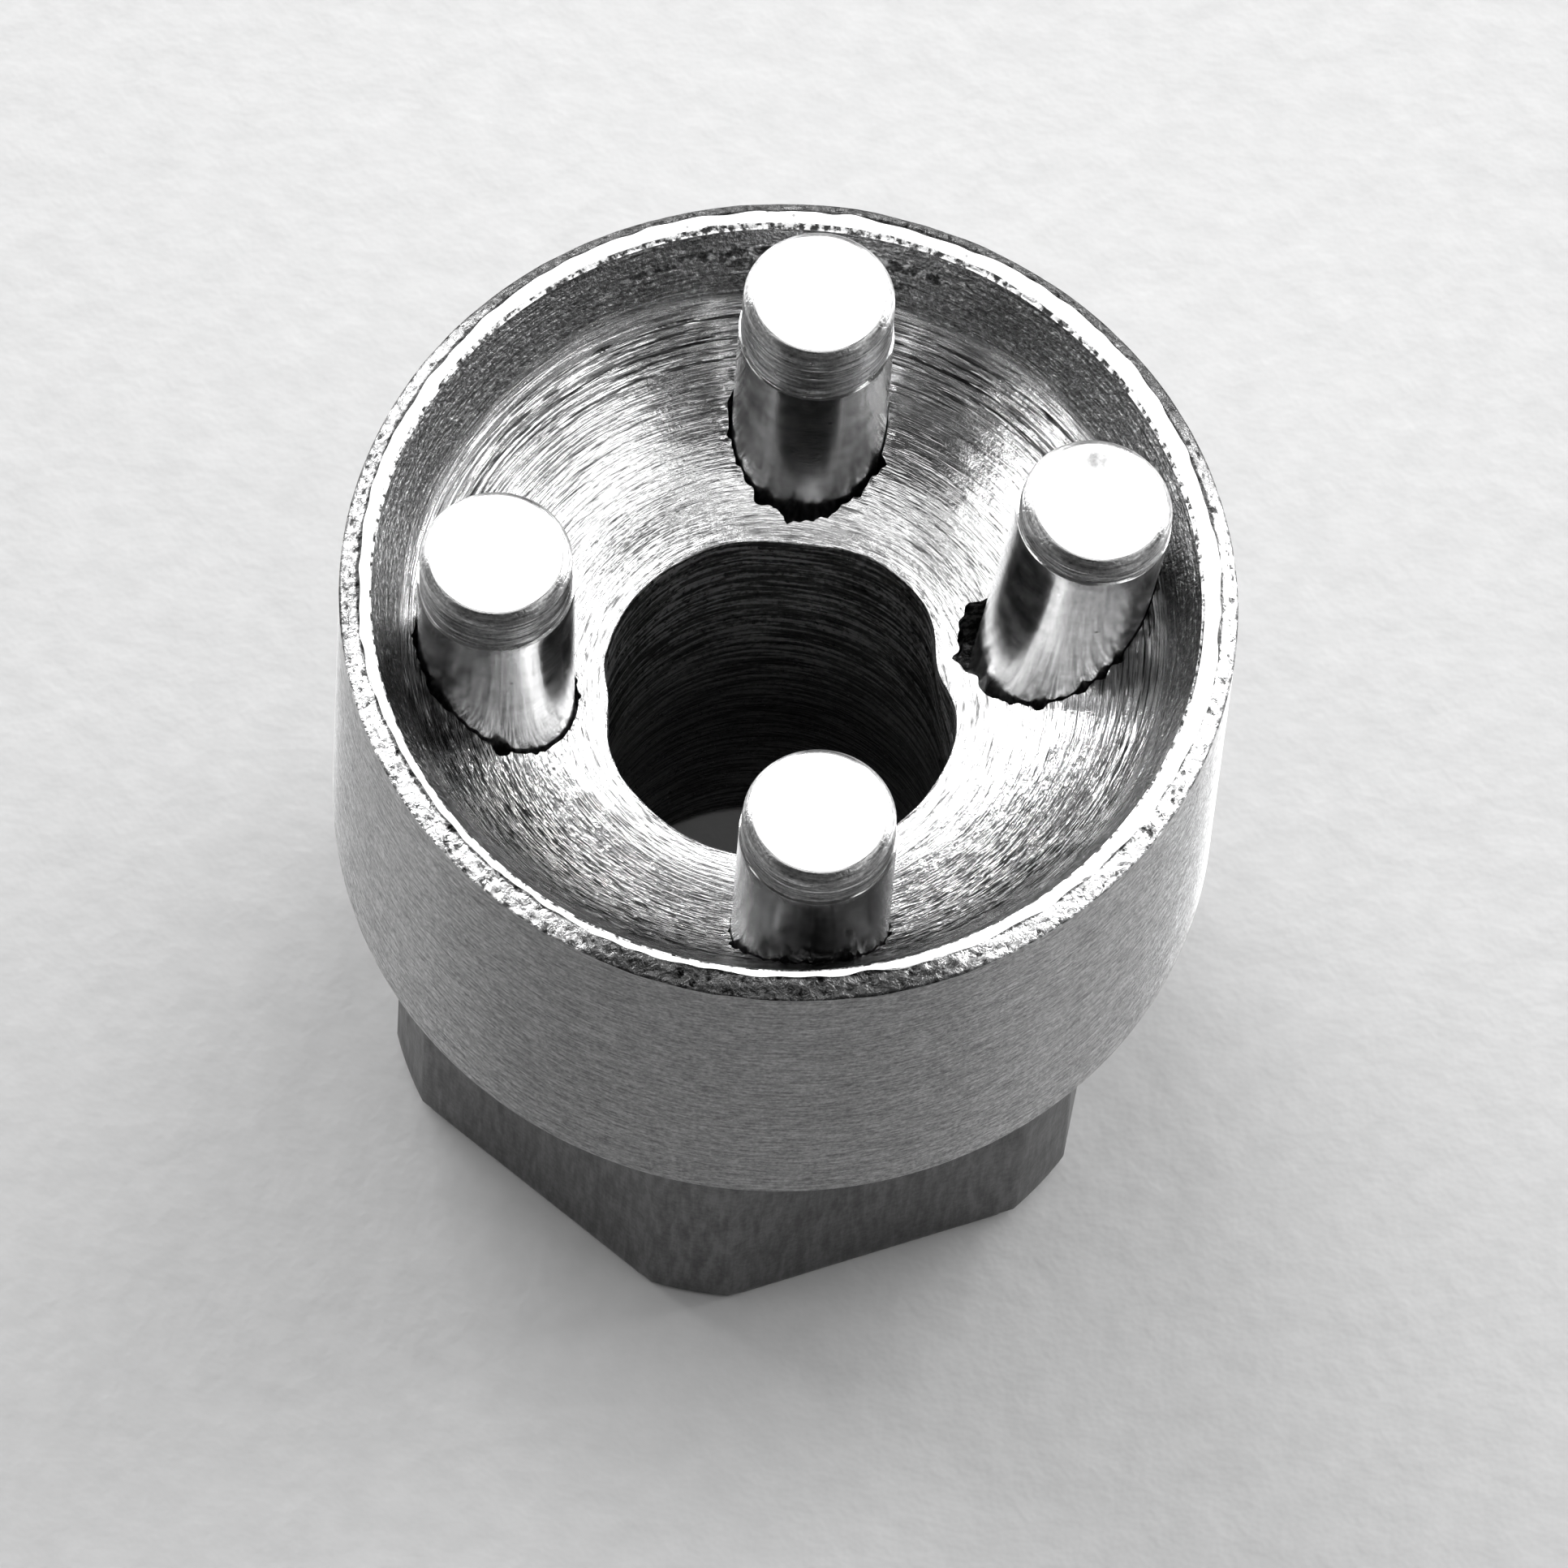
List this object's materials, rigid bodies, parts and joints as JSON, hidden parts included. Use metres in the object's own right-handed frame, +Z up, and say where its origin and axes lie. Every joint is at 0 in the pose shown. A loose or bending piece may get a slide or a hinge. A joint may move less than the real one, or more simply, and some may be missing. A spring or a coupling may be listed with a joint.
{
  "type": "watch case back opener head",
  "caption": "Steel pin wrench head that drops its pins into a screwed watch case back and is turned by a spanner on its hexagon.",
  "frame": {"origin": "centre of the hexagon's bottom face, on the tool's turning axis", "axes": "+Z up the turning axis towards the pin tips; +X square to one pair of the hexagon's flats"},
  "size_m": [0.0217, 0.0218, 0.0225],
  "materials": {
    "turned_steel": "machined steel: concentric turning marks in the dish, fine rings round the wall, milled flats",
    "ground_steel": "bright ground dowel steel with turned, chamfered tips"
  },
  "bodies": {
    "root": {"opener_body": "turned_steel", "pin_right": "ground_steel", "pin_rear": "ground_steel", "pin_left": "ground_steel", "pin_front": "ground_steel"}
  },
  "joints": []
}
